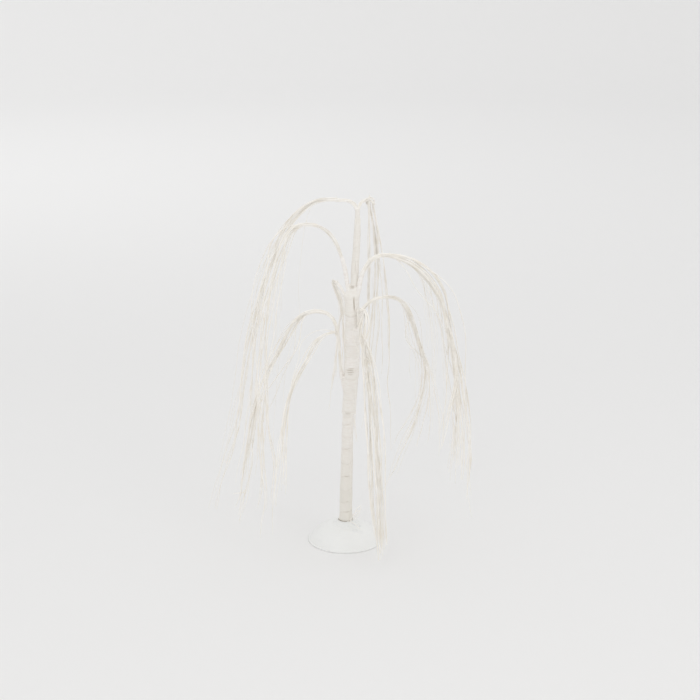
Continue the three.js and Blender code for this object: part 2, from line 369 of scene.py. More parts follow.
def tapeMaterial():
    # Crepe paper tape, waxed and stretched as it is wound: matt off-white with fine lengthwise
    # wrinkles, greyer with painted shade where one turn laps over the next, in creases and at the
    # foot.
    material, tree, shader = newMaterial("crepePaperTape", tape["roughness"])
    coords = addNode(tree, "TexCoord")
    drawn = {}
    for pattern in ("crepe", "line"):
        stretched = addNode(tree, "Mapping", {
            "Vector": coords.outputs["Object"], "Scale": tape[pattern + "Stretch"]})
        noise = addNode(tree, "TexNoise", {
            "Vector": stretched.outputs["Vector"], "Scale": 1 / (tape[pattern + "Size"] * mm),
            "Detail": tape["detail"], "Roughness": tape["fineness"]})
        drawn[pattern] = noise.outputs["Fac"]
    tone = addNode(tree, "MapRange", {"Value": drawn["line"], **tape["toneFade"]})
    paper = addNode(tree, "Mix", {
        "Factor": tone.outputs["Result"], "A": linear(tape["pale"]),
        "B": linear(tape["deep"])}, data_type="RGBA")
    # turnTone mixes in a darker, warmer colour turn by turn, most near the bottom
    turnTone = addNode(tree, "Attribute", attribute_name="turnTone")
    banded = addNode(tree, "Mix", {
        "Factor": turnTone.outputs["Fac"], "A": paper.outputs["Result"],
        "B": linear(tape["aged"])}, data_type="RGBA")
    lap = addNode(tree, "Attribute", attribute_name="lap")
    # the lapped colour is painted shade on the lap lines, in the creases and at the foot
    lapped = addNode(tree, "Mix", {
        "Factor": lap.outputs["Fac"], "A": banded.outputs["Result"],
        "B": linear(tape["lapped"])}, data_type="RGBA")
    relief = addNode(tree, "Mix", {"Factor": 0.5, "A": drawn["crepe"], "B": drawn["line"]},
                     data_type="FLOAT")
    bump = addNode(tree, "Bump", {
        "Height": relief.outputs["Result"], "Strength": tape["bump"],
        "Distance": tape["bumpDepth"] * mm})
    setInputs(shader, {"Base Color": lapped.outputs["Result"], "Normal": bump.outputs["Normal"],
                       "Specular IOR Level": tape["gloss"]})
    return material


resin, holeShade, crepeTape = resinMaterial(), holeShadeMaterial(), tapeMaterial()


base = {
    "lipHeight": 0.9, "lipWidth": 0.9, "lipRound": 0.18, "crown": 11.5, "fullness": 3.5,
    # the seat, the glue collar up to it, and the hole, which is a little off the axis
    "seatRadius": 5.6, "collarRadius": 9.0, "holeRadius": 4.85, "holeShift": (0.25, -0.3),
    "holeDepth": 0.9, "holeRound": 0.12, "holeTaper": 0.1, "holeReach": 0.08, "holeShadeReach": 0.06,
    "steps": 200, "profileSteps": 76,
    # faint turning ridges that waver, and a slight unevenness
    "ridgeHeight": 0.035, "ridgeSpacing": 2.3, "ridgeWaver": 0.6, "uneven": 0.06,
    "fade": 1.5, "rimClear": 0.3, "dropFade": 0.5,
    # glue drops beside the foot: angle in degrees, distance from the axis, width, height
    "drops": ((-24, 9.8, 1.3, 0.46), (-59, 12.6, 1.6, 0.36), (-37, 7.0, 1.0, 0.34),
              (-64, 9.0, 1.0, 0.22), (-46, 15.6, 1.1, 0.14), (-100, 7.2, 1.2, 0.16),
              (-76, 6.9, 0.8, 0.16), (20, 8.6, 1.2, 0.20)),
    "dropRimTint": 0.5,  # how grey a drop's rim gets
}


def domeHeight(radius, domeRadius, seatHeight):
    # the dome alone reaches the crown at its axis; a collar of glue climbs from it to the seat
    lip, crown, seat = base["lipHeight"], base["crown"], base["seatRadius"]
    dome, atSeat = (crown + (lip - crown) * (reach / domeRadius) ** base["fullness"]
                    for reach in (radius, seat))
    away = min(1.0, (radius - seat) / (base["collarRadius"] - seat))
    return dome + (seatHeight - atSeat) * (1 - away) ** 2


def makeBase():
    _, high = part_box("base_dome")
    radius, height = high.x / mm, high.z / mm
    domeRadius = radius - base["lipWidth"]
    seatRadius, hole = base["seatRadius"], base["holeRadius"]
    corner, edge = base["lipRound"], base["holeRound"]
    outline = [(0.0, 0.0), (radius - corner, 0.0), (radius, corner),
               (radius, base["lipHeight"] - corner), (radius - corner, base["lipHeight"])]
    for step in range(base["profileSteps"] + 1):
        spot = domeRadius + (seatRadius - domeRadius) * step / base["profileSteps"]
        outline.append((spot, domeHeight(spot, domeRadius, height)))
    floorOfHole = height - base["holeDepth"]
    outline += [(hole + edge, height), (hole, height - edge),
                (hole - base["holeTaper"], floorOfHole), (0.0, floorOfHole)]
    piece = spunFrom("domeBase", outline, base["steps"])
    bpy.ops.mesh.normals_make_consistent(inside=False)
    bpy.ops.object.mode_set(mode="OBJECT")
    # the ridges, the unevenness and the drops lie on the dome only
    spots = coordsOf(piece.data)
    reach = np.hypot(spots[:, 0], spots[:, 1]) / mm
    angle = np.arctan2(spots[:, 1], spots[:, 0])
    aboveLip = spots[:, 2] > base["lipHeight"] * mm
    onDome = softStep(reach, hole + base["rimClear"], seatRadius + base["fade"]) * aboveLip
    onDome *= 1 - softStep(reach, domeRadius - base["fade"], domeRadius)
    lift = base["ridgeHeight"] * np.sin(2 * math.pi * reach / base["ridgeSpacing"]
                                        + base["ridgeWaver"] * np.sin(2 * angle))
    lift += base["uneven"] * np.sin(3 * angle + 0.35 * reach) * np.sin(0.5 * reach + 1.0)
    onTop = softStep(reach, hole, hole + base["dropFade"]) * aboveLip
    glue, dropRimTint = np.zeros(len(spots)), np.zeros(len(spots))
    for degrees, away, width, high in base["drops"]:
        dropX = away * math.cos(math.radians(degrees))
        dropY = away * math.sin(math.radians(degrees))
        gap = np.hypot(spots[:, 0] / mm - dropX, spots[:, 1] / mm - dropY) / width
        glue += high * np.exp(-gap ** 4)
        dropRimTint += base["dropRimTint"] * high * np.exp(-(gap - 0.8) ** 2 / 0.3)
    spots[:, 2] += (lift * onDome + glue * onTop) * mm
    inHole = (reach < hole + edge + base["holeReach"]) & (spots[:, 2] > 0.5 * height * mm)
    spots[inHole, :2] += np.array(base["holeShift"]) * mm
    setCoords(piece.data, spots)
    addLayer(piece, "dropRimTint", dropRimTint)
    piece.data.materials.append(resin)
    piece.data.materials.append(holeShade)
    aside, ahead = base["holeShift"]
    # the faces inside the hole take the dark painted shade
    for face in piece.data.polygons:
        away = math.hypot(face.center.x / mm - aside, face.center.y / mm - ahead)
        inHoleShade = away < hole + base["holeShadeReach"] and face.center.z > 0.5 * height * mm
        face.material_index = int(inHoleShade)
    finishPiece(piece, ["base_dome"], 50)


makeBase()


trunk = {
    "sides": 120, "cuts": (100, 5), "startRadius": 4, "below": 0.85,  # below: down in the hole
    # how high a lap stands, the share of a turn that it climbs in, and how its line runs
    "tapeStep": 0.22, "leastStep": 0.3, "edgeShare": 0.06, "waver": 0.04, "level": 0.8,
    "wrinkle": 0.035, "wrinkleCounts": (9, 14, 21, 29, 37), "leastThin": 0.35,
    # slow swellings: how high, and how many go round with how many turns to the millimetre
    "swelling": 0.12, "swellings": ((2, 0.045), (3, 0.083), (1, 0.021)),
    # the swelling over a bundle's root: its length, its end above the root, its half width in
    # radians, and how high it is; roots higher than the top share have none
    "rootLength": 13.0, "rootTop": (0.6, 2.2), "rootWidth": 0.34, "bundle": 1.15,
    "rootShare": 0.92, "leastBulge": 0.4, "topShare": 0.95, "rootBelow": 3,
    # how dark the painted shade is on the lap lines, in the creases and at the foot, and where the
    # foot's painted shade fades
    "lapWidth": 0.035, "lapShade": (0.04, 0.2), "creaseShade": 1.1, "footShade": 0.85,
    "footEnds": (13.9, 14.9),
    # each turn's lower edge at the front: its height, how clear it is, and how far the turn's tone
    # goes to the darker, warmer colour
    "laps": ((12.0, 0.5, 1.0), (20.8, 0.7, 0.9), (27.3, 0.6, 1.0), (36.6, 0.4, 0.8),
             (45.9, 0.8, 0.7), (55.6, 0.6, 0.6), (65.7, 0.6, 0.4), (74.1, 0.3, 0.3),
             (82.5, 0.7, 0.3), (91.6, 1.0, 0.3), (99.9, 0.4, 0.4), (106.8, 0.3, 0.3),
             (114.2, 0.7, 0.4), (121.5, 0.5, 0.1), (128.7, 0.2, 0.3), (137.6, 0.3, 0.1),
             (147.1, 0.3, 0.3), (157.2, 0.8, 0.5), (167.9, 0.3, 0.5), (176.5, 0.7, 0.6),
             (184.5, 0.3, 0.6), (193.1, 0.3, 0.6), (202.3, 0.8, 0.5), (212.7, 0.25, 0.6),
             (222.5, 0.2, 0.5), (231.0, 0.3, 0.5)),
    # open creases: height, half height, turn from the front in radians, half width, depth
    "creases": ((165.3, 4.3, 0.33, 0.30, 0.7), (188.9, 3.6, 0.02, 0.26, 0.22),
                (176.0, 1.0, -0.50, 1.4, 0.40), (121.6, 0.36, -0.14, 2.0, 0.3),
                (120.3, 0.40, -0.26, 2.4, 0.42), (119.0, 0.36, -0.22, 2.4, 0.36),
                (117.7, 0.36, -0.16, 1.8, 0.26), (90.6, 0.35, -0.1, 1.9, 0.3),
                (82.5, 0.3, -0.2, 1.6, 0.18), (65.5, 0.3, -0.1, 1.3, 0.18),
                (54.4, 0.3, 0.1, 1.4, 0.15), (46.5, 0.35, 0.05, 1.5, 0.22),
                (28.4, 0.4, 0.2, 0.9, 0.18), (21.0, 0.35, 0.1, 2.2, 0.20)),
    "seed": 5,
}


def makeTrunk():
    dice = random.Random(trunk["seed"])
    low, high = trunkHeights[0] - trunk["below"] * mm, trunkHeights[-1]
    bpy.ops.mesh.primitive_cylinder_add(vertices=trunk["sides"], radius=trunk["startRadius"] * mm,
                                        depth=high - low, end_fill_type="TRIFAN",
                                        location=(0, 0, (low + high) / 2))
    piece = bpy.context.object
    piece.name = "tapedTrunk"
    bpy.ops.object.transform_apply(location=True, rotation=True, scale=True)
    # the edges up the sides are cut into rings, and these into finer ones
    for cuts in trunk["cuts"]:
        bpy.ops.object.mode_set(mode="EDIT")
        bpy.ops.mesh.select_mode(type="EDGE")
        bpy.ops.mesh.select_all(action="DESELECT")
        bpy.ops.object.mode_set(mode="OBJECT")
        mesh = piece.data
        heights = coordsOf(mesh)[:, 2]
        ends = np.empty(len(mesh.edges) * 2, dtype=np.int32)
        mesh.edges.foreach_get("vertices", ends)
        steep = np.abs(np.diff(heights[ends.reshape(-1, 2)], axis=1)[:, 0]) > mergeGap
        mesh.edges.foreach_set("select", steep)
        bpy.ops.object.mode_set(mode="EDIT")
        bpy.ops.mesh.subdivide(number_cuts=cuts)
        bpy.ops.object.mode_set(mode="OBJECT")

    spots = coordsOf(piece.data)
    z = spots[:, 2]
    theta = np.arctan2(spots[:, 1], spots[:, 0])
    # how far out on the cylinder: 1 on its side, and 0 at the middles of its caps
    share = np.hypot(spots[:, 0], spots[:, 1]) / (trunk["startRadius"] * mm)
    leanX, leanY = (np.interp(z, trunkHeights, trunkLean[:, axis]) for axis in (0, 1))
    radius = np.interp(z, trunkHeights, trunkRadius) / mm
    fromFront = (theta + 0.5 * math.pi + math.pi) % (2 * math.pi) - math.pi
    zMm = z / mm

    # turns of tape wound upwards, each lapping over the one below
    laps, clearness, turnTones = np.array(trunk["laps"]).T
    turn = np.interp(zMm, laps, np.arange(len(laps)))
    turn -= (fromFront - trunk["level"] * np.sin(fromFront)) / (2 * math.pi)  # level at the front
    turn += trunk["waver"] * (np.sin(2 * theta + zMm * 0.31)
                              + 0.5 * np.sin(5 * theta - zMm * 0.77))
    whole = np.floor(turn).astype(int)
    phase = turn - whole
    # finer relief on a thinner trunk
    thin = np.clip(radius / trunk["startRadius"], trunk["leastThin"], 1)
    turnBelow = np.clip(whole, 0, len(laps) - 1)
    leastStep = trunk["leastStep"]
    step = trunk["tapeStep"] * (leastStep + (1 - leastStep) * clearness[turnBelow])
    lift = step * thin * softStep(phase, 0, trunk["edgeShare"]) * (1 - phase)
    wrinkles = np.zeros(len(z))
    for count in trunk["wrinkleCounts"]:
        shifts = np.array([dice.uniform(0, 2 * math.pi) for _ in range(len(laps) + 4)])
        sizes = np.array([dice.uniform(0.3, 1.0) for _ in range(len(laps) + 4)])
        wave = np.sin(count * theta + shifts[whole + 2] + 1.3 * phase)
        wrinkles += sizes[whole + 2] * wave
    lift += trunk["wrinkle"] * thin * wrinkles * (0.5 + phase) * 0.5
    for count, turns in trunk["swellings"]:
        shift = dice.uniform(0, 2 * math.pi)
        wave = np.sin(count * theta + 2 * math.pi * turns * zMm + shift)
        lift += trunk["swelling"] * thin * 0.5 * wave

    # the tape swells over each bundle's root
    for name in tufts:
        if name + "_rise" not in nodes:
            continue
        rings = ringsOf(name + "_rise").mean(axis=1)
        root = rings[np.argmin(rings[:, 2])]
        if root[2] > trunk["topShare"] * high:
            continue
        centreX, centreY, around = trunkAt(root[2] - trunk["rootBelow"] * mm)
        rootAngle = math.atan2(root[1] - centreY, root[0] - centreX)
        out = math.hypot(root[0] - centreX, root[1] - centreY)
        bulge = max(trunk["leastBulge"], (out - around) / mm + trunk["bundle"])
        away = (theta - rootAngle + math.pi) % (2 * math.pi) - math.pi
        rootHeight = root[2] / mm
        upTo = softStep(zMm, rootHeight - trunk["rootLength"], rootHeight)
        upTo *= 1 - softStep(zMm, *(rootHeight + above for above in trunk["rootTop"]))
        lift += trunk["rootShare"] * bulge * upTo * np.exp(-(away / trunk["rootWidth"]) ** 2)

    # open creases
    crease = np.zeros(len(z))
    for height, halfHeight, around, halfWidth, depth in trunk["creases"]:
        sideways = (fromFront - around) * radius / halfWidth
        along = (zMm - height) / halfHeight
        crease += depth * np.exp(-sideways ** 4) * np.exp(-along ** 4)
    radius = np.maximum(radius + lift - crease, 0.5)
    spots[:, 0] = leanX + np.cos(theta) * radius * mm * share
    spots[:, 1] = leanY + np.sin(theta) * radius * mm * share
    setCoords(piece.data, spots)

    # painted shade: a thin dark line where a turn laps, darker in places, and in the creases and
    # at the foot; and a tone of its own for each turn
    patchy = 0.5 + 0.3 * np.sin(theta + 0.9 * zMm) + 0.2 * np.sin(3 * theta - 0.4 * zMm)
    clear = clearness[np.clip(np.round(turn).astype(int), 0, len(laps) - 1)]
    leastDark, mostDark = trunk["lapShade"]
    shade = np.exp(-(np.minimum(phase, 1 - phase) / trunk["lapWidth"]) ** 2) * clear
    shade *= leastDark + mostDark * patchy
    shade += trunk["creaseShade"] * np.clip(crease, 0, 1)
    shade += trunk["footShade"] * (1 - softStep(zMm, *trunk["footEnds"]))
    addLayer(piece, "lap", shade)
    addLayer(piece, "turnTone", turnTones[turnBelow])
    piece.data.materials.append(crepeTape)
    finishPiece(piece, ["trunk"], 60)


strand = {
    # millimetres across, at the thickest, the thinnest and the tip
    "thick": 0.66, "thin": 0.34, "tip": 0.24, "tipShare": 0.16,
    "perStation": 3, "coreShare": 0.60, "curtainThick": 6.0,
    # how far down the roots go in the trunk, or along the bough that they are tied to, how far
    # they are drawn to the trunk's middle, and how much narrower they get
    "rootDepth": 11.0, "tieDepth": 7, "rootShares": (1.0, 0.66, 0.33),
    "rootPull": 0.55, "rootNarrow": 0.35, "tieNarrow": 0.3,
    # how far out a strand lies in its bundle, and a lock in the bundle and in the curtain
    "bundleReach": 0.85, "lockBundle": (0.75, 0.85), "lockHang": (0.85, 0.95),
    # stations before and after the crest between which a strand leaves its place and draws off
    # from its lock, and about the bough's end where its lock starts to hang
    "leave": (2.0, 3.0), "drawOff": (2.0, 1.0), "startHang": (3.0, 3.0),
    # how evenly locks are dealt over the curtains, and how closely they gather on the main one
    "dealt": (0.2, 0.8), "gathered": (-0.3, 0.3),
    # where locks and short strands end, as shares of the curtain, and how ragged a lock's end is
    "ends": (0.84, 1.04), "shortEnds": (0.05, 0.3), "ragged": 0.3,
    # how far a strand lies from its lock's middle, at the crest and at the tip
    "lockCrest": 0.35, "lockTip": 1.3, "lockWander": 0.8, "wanderWaves": ((70, 38), (66, 35)),
    # how far a lock swings as it hangs, and the lengths of its waves
    "swing": 2.2, "swingWaves": ((120, 64), (104, 57)),
    # how far a stray stands off and to the side, and for how many stations
    "strayHigh": (3.0, 9.0), "strayAside": 3.0, "strayLength": (9, 15), "strayFrom": (0.0, 4.0),
}
usualTuft = {  # what every tuft has, unless its own entry says otherwise
    "short": 0.0,  # share of the strands that end soon after the crest
    "loose": 2.0,  # how many times wider it gets past the crest
    "turns": 0.7,  # how often a strand winds round before the crest
    "strays": 4,  # strands that bulge away and come back
    "hangers": 2,  # single threads that slip out and hang
    "droppers": 0,  # threads of a lock that parts at the crest
    "parted": 0.0,  # how far the two sides draw apart past the crest
    "gather": 0.0,  # share of the locks that keep to the main curtain
    "taped": 0.10,  # share of the rise with tape round it
    "full": 0.0,  # how much further down the strands reach
    "shift": 0.0,  # millimetres to the right past the crest
    "squeeze": 0.0,  # how far the tips close on the main curtain's line
    "aged": 0.6,  # how much the darker tones gain
}
tufts = {
    "crown_left": {"seed": 11, "strands": 18, "locks": 7, "loose": 2.3, "turns": 0.9,
                   "gather": 0.3, "taped": 0.06},
    "crown_back": {"seed": 12, "strands": 28, "locks": 7, "short": 0.5, "loose": 1.9,
                   "turns": 0.6, "strays": 0, "droppers": 10, "parted": 1.1, "aged": 2.0},
    "upper_left": {"seed": 13, "strands": 16, "locks": 6, "loose": 2.2, "turns": 0.8,
                   "strays": 6, "hangers": 4, "gather": 0.3, "taped": 0.34},
    "upper_right": {"seed": 14, "strands": 46, "locks": 16, "short": 0.1, "loose": 3.0,
                    "turns": 0.8, "strays": 5, "hangers": 13, "taped": 0.42},
    "middle_back": {"seed": 15, "strands": 14, "locks": 5, "short": 0.2, "loose": 1.6,
                    "turns": 0.5, "strays": 2, "hangers": 1, "taped": 0.85},
    "middle_right": {"seed": 16, "strands": 22, "locks": 10, "short": 0.25, "loose": 1.7,
                     "hangers": 3, "gather": 0.4, "taped": 0.12},
    "middle_front": {"seed": 17, "strands": 36, "locks": 13, "loose": 3.6, "turns": 0.5,
                     "strays": 3, "hangers": 0, "taped": 0.16, "full": 0.12, "shift": -2.2,
                     "squeeze": 0.55, "aged": 4.0},
    "lower_left": {"seed": 18, "strands": 20, "locks": 8, "short": 0.1, "gather": 0.2},
    "lower_left_side": {"seed": 19, "strands": 11, "locks": 5, "loose": 2.6, "turns": 0.4,
                        "strays": 2, "hangers": 0, "taped": 0.0},
}


def curvePiece(name, threads, materials, sides=1):
    # threads: (points in metres, radii in metres, material number)
    curve = bpy.data.curves.new(name, "CURVE")
    curve.dimensions = "3D"
    curve.bevel_depth = 1.0
    curve.bevel_resolution = sides
    curve.use_fill_caps = True
    for spots, radii, tone in threads:
        spline = curve.splines.new("POLY")
        spline.points.add(len(spots) - 1)
        spline.points.foreach_set("co", np.column_stack([spots, np.ones(len(spots))]).ravel())
        spline.points.foreach_set("radius", radii)
        spline.material_index = tone
        spline.use_smooth = True
    for material in materials:
        curve.materials.append(material)
    selectOnly(newObject(name, curve))
    bpy.ops.object.convert(target="MESH")
    piece = bpy.context.object
    piece.name = name
    return piece


def waves(dice, along, lengths):  # a smooth random wander, about one high
    total = np.zeros(len(along))
    for length in lengths:
        total += dice.uniform(0.4, 1.0) * np.sin(2 * math.pi * (along / length + dice.random()))
    return total / len(lengths)


def lengthAlong(points):  # millimetres from the first point
    steps = np.linalg.norm(np.diff(points, axis=0), axis=1)
    return np.concatenate([[0], np.cumsum(steps)]) / mm


def squared(stations):  # directions made square to the joined line again, so that nothing kinks
    tangents = unit(np.gradient(stations[:, :3], axis=0))
    stations[:, 3:6] = squareTo(stations[:, 3:6], tangents)
    stations[:, 6:9] = np.cross(tangents, stations[:, 3:6])
    return stations


def rootStationsOf(first, second, hasRise):  # the bundle goes on down into what it is bound to
    downwards = first[:3] - second[:3]
    downwards /= np.linalg.norm(downwards)
    carrier = ringsOf("lower_left_rise").mean(axis=1)
    nearest = carrier[np.argmin(np.abs(carrier[:, 2] - (first[2] - strand["tieDepth"] * mm)))]
    found = []
    for share in strand["rootShares"]:
        station = first.copy()
        if hasRise:  # into the trunk
            station[:3] += downwards * strand["rootDepth"] * mm * share
            inside = np.array([*trunkAt(station[2])[:2], station[2]])
            station[:3] += (inside - station[:3]) * strand["rootPull"] * share ** 1.5
            station[9:11] *= 1 - strand["rootNarrow"] * share
        else:  # into the rise that it is tied to
            station[:3] += (nearest - first[:3]) * share
            station[2] = first[2] - strand["tieDepth"] * mm * share ** 1.6
            station[9:11] *= 1 - strand["tieNarrow"] * share
        found.append(station)
    return np.array(found)


def threadRadii(spots, start, dice):  # a strand keeps its thickness, then thins to its tip
    thick, thin, tip = (strand[name] * 0.5 * mm for name in ("thick", "thin", "tip"))
    radius = thin + (thick - thin) * dice.random() ** 1.6
    toTip = np.clip((spots[-1] - spots) / ((spots[-1] - start) * strand["tipShare"]), 0, 1)
    return tip + (radius - tip) * toTip ** 0.7


def toneOf(dice, aged=0):  # the darker tones gain share in an aged tuft
    shares = [share * (1 + aged * tone) for tone, share in enumerate(fibreShares)]
    return dice.choices(range(len(shares)), shares)[0]


def layoutOf(name):  # the limb and the curtains of a tuft as lines of stations
    hasRise = name + "_rise" in nodes
    fallRings = ringsOf(name + "_fall")
    if fallRings[0][:, 2].mean() < fallRings[-1][:, 2].mean():
        fallRings = fallRings[::-1]
    bough = fallRings
    if hasRise:
        riseRings = towards(ringsOf(name + "_rise"), fallRings[0].mean(axis=0))[::-1]
        bough = np.concatenate([riseRings, fallRings[1:]])
    axisX = trunkAt(bough[0][:, 2].mean())[0]
    boughStations = stationsOf(bough, axisX)
    bend = boughStations[-1]
    limb = np.concatenate([rootStationsOf(boughStations[0], boughStations[1], hasRise),
                           boughStations])
    curtainNames = sorted(n for n in nodes if n.startswith(name + "_curtain_"))
    fans = []  # each curtain from the root to its tip, side by side
    for curtainName in curtainNames:
        stations = stationsOf(towards(ringsOf(curtainName), fallRings[-1].mean(axis=0)), axisX)
        slotAt = float(np.dot(stations[0, :3] - bend[:3], bend[3:6])) / bend[9]
        line = squared(np.concatenate([limb, stations[1:]]))
        fans.append({"at": slotAt, "line": line, "name": curtainName})
    fans.sort(key=lambda fan: fan["at"])
    return {"limb": limb, "fans": fans, "spread": len(limb) - 1, "hasRise": hasRise,
            "crest": len(limb) - len(fallRings), "curtainNames": curtainNames,
            "main": [fan["name"] for fan in fans].index(curtainNames[0])}


def lockThreads(layout, tuft, dice):  # strands that lie in locks, from the root to the tips
    fans, spreadAt, crestAt = layout["fans"], layout["spread"], layout["crest"]
    last = len(fans[0]["line"]) - 1
    limbEnd = layout["limb"][-1][9]
    (hangU, hangV), (lockU, lockV) = strand["lockHang"], strand["lockBundle"]
    locks = []
    for number in range(tuft["locks"]):
        # dealt out evenly, with one lock at least on each curtain's line
        dealt = (number + dice.uniform(*strand["dealt"])) / tuft["locks"]
        across = dealt * (len(fans) - 0.4) - 0.3
        if number < len(fans):
            across = number
        elif dice.random() < tuft["gather"]:
            across = layout["main"] + dice.uniform(*strand["gathered"])
        angle = dice.uniform(0, 2 * math.pi)
        locks.append({"fanAt": min(len(fans) - 1.0, max(0.0, across)),
                      "hangU": dice.uniform(-hangU, hangU), "hangV": dice.uniform(-hangV, hangV),
                      "bundleU": math.cos(angle) * lockU, "bundleV": math.sin(angle) * lockV,
                      "end": dice.uniform(*strand["ends"]), "seed": dice.random()})
    boughThreads, curtainThreads = [], []
    for number in range(tuft["strands"]):
        lock = locks[number % len(locks)]
        one = min(int(lock["fanAt"]), len(fans) - 2) if len(fans) > 1 else 0
        other = min(one + 1, len(fans) - 1)
        share = lock["fanAt"] - one
        stations, slotAt = (fans[one][part] * (1 - share) + fans[other][part] * share
                            for part in ("line", "at"))
        reachEnd = 1.0  # the first strands go the whole way
        if number >= len(fans):
            ragged = strand["ragged"] - tuft["full"]
            reachEnd = min(1.0, lock["end"] + tuft["full"] - ragged * dice.random() ** 2)
            if dice.random() < tuft["short"]:
                reachEnd = dice.uniform(*strand["shortEnds"])
        end = spreadAt + (last - spreadAt) * reachEnd
        spots = np.linspace(0, end, int(end * strand["perStation"]) + 2)
        shape = curveThrough(stations, spots)
        along = lengthAlong(shape[:, :3])
        passed = np.clip((spots - spreadAt) / (last - spreadAt), 0, 1)
        onBough = 1 - stepAbout(spots, crestAt, strand["leave"])
        inBundle = 1 - stepAbout(spots, spreadAt, strand["startHang"])
        # up to the crest a strand has its own place in the round, slightly twisted bundle
        angle = dice.uniform(0, 2 * math.pi)
        reach = math.sqrt(dice.random()) * strand["bundleReach"]
        turn = angle + 2 * math.pi * tuft["turns"] * (1 - np.clip(spots / crestAt, 0, 1))
        ownU, ownV = reach * np.cos(turn), reach * np.sin(turn)
        # past it the bundle loosens, and its locks draw apart
        slack = 1 + (tuft["loose"] - 1) * softStep(spots, crestAt - 1.0, spreadAt - 1.0)
        side = 1 if lock["fanAt"] > (len(fans) - 1) / 2 else -1
        looseU = (lock["bundleU"] * (1 - 0.5 * tuft["parted"]) + 0.4 * slotAt
                  + side * tuft["parted"] * softStep(spots, crestAt + 0.5, spreadAt - 1)) * slack
        looseV = lock["bundleV"] * slack
        u = ownU * onBough + looseU * (1 - onBough)
        v = ownV * onBough + looseV * (1 - onBough)
        # in the curtain the locks swing apart
        lockDice = random.Random(lock["seed"])
        swingU, swingV = (waves(lockDice, along, lengths) * strand["swing"] * mm * passed ** 0.7
                          for lengths in strand["swingWaves"])
        opened = softStep(passed, -0.1, 0.75)
        thick = shape[:, 10] * (1 - opened) + strand["curtainThick"] * mm * opened
        hangWide = np.maximum(shape[:, 9], limbEnd * (tuft["loose"] - 0.8))
        acrossBy = shape[:, 9] * u * inBundle + hangWide * lock["hangU"] * (1 - inBundle)
        v = v * inBundle + lock["hangV"] * (1 - inBundle)
        spread = (strand["lockCrest"] + (strand["lockTip"] - strand["lockCrest"]) * passed) * mm
        spread *= stepAbout(spots, crestAt, strand["drawOff"])
        besideU, besideV = (
            spread * (dice.uniform(-1, 1) + strand["lockWander"] * waves(dice, along, lengths))
            for lengths in strand["wanderWaves"])
        points = (shape[:, :3] + shape[:, 3:6] * (acrossBy + swingU + besideU)[:, None]
                  + shape[:, 6:9] * (thick * v + swingV + besideV)[:, None])
        points[:, 0] += tuft["shift"] * mm * softStep(spots, crestAt, spreadAt)
        mainLine = curveThrough(fans[layout["main"]]["line"], spots)[:, :3]
        points += (mainLine - points) * (tuft["squeeze"] * passed ** 2)[:, None]
        if number >= tuft["strands"] - tuft["strays"]:
            # a stray bulges out past the crest and comes back further down
            leaves = crestAt + dice.uniform(*strand["strayFrom"])
            back = min(end, leaves + dice.uniform(*strand["strayLength"]))
            bulge = np.sin(math.pi * np.clip((spots - leaves) / (back - leaves), 0, 1)) ** 1.3
            high = dice.choice((-1, 1)) * dice.uniform(*strand["strayHigh"]) * mm
            aside = dice.uniform(-strand["strayAside"], strand["strayAside"]) * mm
            points += shape[:, 6:9] * (bulge * high)[:, None]
            points += shape[:, 3:6] * (bulge * aside)[:, None]
        radii = threadRadii(spots, spreadAt, dice)
        tone = toneOf(dice, tuft["aged"])
        cut = int(np.searchsorted(spots, spreadAt + 0.5))
        boughThreads.append((points[:cut + 1], radii[:cut + 1], tone))
        curtainThreads.append((points[cut:], radii[cut:], tone))
    return boughThreads, curtainThreads


hanging = {
    # single threads that slip out past the crest, and those of a lock that parts there: for how
    # many stations they follow the bough, how far they glide on and hang, and half their width
    "hanger": {"follow": 1.5, "glideShare": 0.16, "drop": (45, 110), "clear": 22, "steps": 34,
               "sway": 2.0, "swayOver": 60, "radii": (0.14, 0.09)},
    "dropper": {"follow": 2.5, "glide": 1.1, "drop": (62, 118), "steps": 46, "sway": 1.6,
                "radii": (0.28, 0.12)},
    "swayWaves": ((75, 33), (68, 30)),
    # cut ends that stand off the crest, up to so many stations from it
    "stub": {"count": 2, "along": 1.5, "lean": 0.5, "sunk": 0.6, "length": (1.6, 2.6),
             "steps": 5, "radii": (0.2, 0.1)},
}


def hangingThread(dice, kind, start, along, share, glide, fall, aged=0):
    beside = [waves(dice, along, lengths) for lengths in hanging["swayWaves"]]
    sway = np.stack(beside + [np.zeros(len(along))], axis=1) * share * kind["sway"] * mm
    points = np.concatenate([start, start[-1] + glide + fall + sway])
    return points, np.linspace(*kind["radii"], len(points)) * mm, toneOf(dice, aged)


def hangerThreads(layout, tuft, dice):
    kind, threads = hanging["hanger"], []
    for _ in range(tuft["hangers"]):
        follow = kind["follow"]
        leaves = layout["crest"] + dice.uniform(follow, layout["spread"] - layout["crest"])
        shape = curveThrough(layout["limb"], np.linspace(leaves - follow, leaves, 5))
        start = shape[:, :3] + shape[:, 3:6] * shape[:, 9:10] * dice.uniform(-0.7, 0.7)
        heading = unit(start[-1] - start[-2])
        heading[2] = min(heading[2], 0)
        drop = min(dice.uniform(*kind["drop"]) * mm, start[-1][2] - kind["clear"] * mm)
        share = np.linspace(0, 1, kind["steps"])[1:, None]
        glide = heading * drop * kind["glideShare"] * (1 - (1 - share) ** 3)
        fall = np.array([0, 0, -drop]) * share ** 1.3
        along = share[:, 0] * kind["swayOver"]
        threads.append(hangingThread(dice, kind, start, along, share, glide, fall))
    return threads


